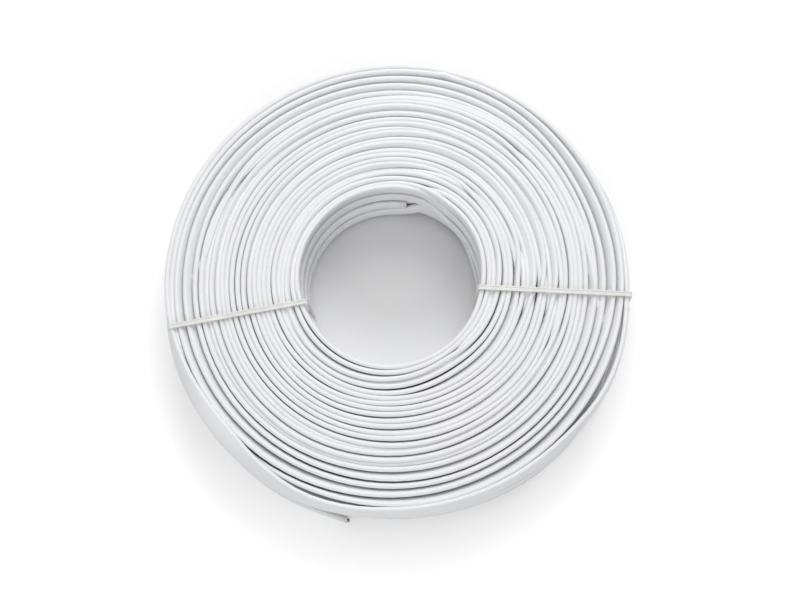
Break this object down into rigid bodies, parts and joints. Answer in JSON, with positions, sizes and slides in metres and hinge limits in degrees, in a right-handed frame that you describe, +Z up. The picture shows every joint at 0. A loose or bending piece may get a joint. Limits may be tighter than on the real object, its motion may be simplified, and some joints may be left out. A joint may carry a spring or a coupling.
{
  "type": "tied coil of flat cable",
  "caption": "Free-standing coil of white flat telephone cable lying on its side, tied with two nylon cable ties, both cut ends showing their coloured cores.",
  "frame": {"origin": "on the floor, under the middle of the coil's outline", "axes": "+Z up along the coil's axis, +Y away from the viewer, +X to the viewer's right"},
  "size_m": [0.2288, 0.2227, 0.0394],
  "materials": {
    "jacket": "satin white PVC",
    "core_grey": "smooth insulation",
    "core_orange": "smooth insulation",
    "core_black": "smooth insulation",
    "core_red": "smooth insulation",
    "core_green": "smooth insulation",
    "core_yellow": "smooth insulation",
    "core_blue": "smooth insulation",
    "core_brown": "smooth insulation",
    "copper": "bare cut copper",
    "nylon": "natural nylon, slightly translucent"
  },
  "bodies": {
    "root": {"coil_inner_layers": "jacket", "coil_top_winding": "jacket", "outer_end_jacket": "jacket", "outer_end_core_grey": "core_grey", "outer_end_conductor_grey": "copper", "outer_end_core_orange": "core_orange", "outer_end_conductor_orange": "copper", "outer_end_core_black": "core_black", "outer_end_conductor_black": "copper", "outer_end_core_red": "core_red", "outer_end_conductor_red": "copper", "outer_end_core_green": "core_green", "outer_end_conductor_green": "copper", "outer_end_core_yellow": "core_yellow", "outer_end_conductor_yellow": "copper", "outer_end_core_blue": "core_blue", "outer_end_conductor_blue": "copper", "outer_end_core_brown": "core_brown", "outer_end_conductor_brown": "copper", "inner_end_jacket": "jacket", "inner_end_core_grey": "core_grey", "inner_end_conductor_grey": "copper", "inner_end_core_orange": "core_orange", "inner_end_conductor_orange": "copper", "inner_end_core_black": "core_black", "inner_end_conductor_black": "copper", "inner_end_core_red": "core_red", "inner_end_conductor_red": "copper", "inner_end_core_green": "core_green", "inner_end_conductor_green": "copper", "inner_end_core_yellow": "core_yellow", "inner_end_conductor_yellow": "copper", "inner_end_core_blue": "core_blue", "inner_end_conductor_blue": "copper", "inner_end_core_brown": "core_brown", "inner_end_conductor_brown": "copper", "left_tie": "nylon", "right_tie": "nylon"}
  },
  "joints": []
}
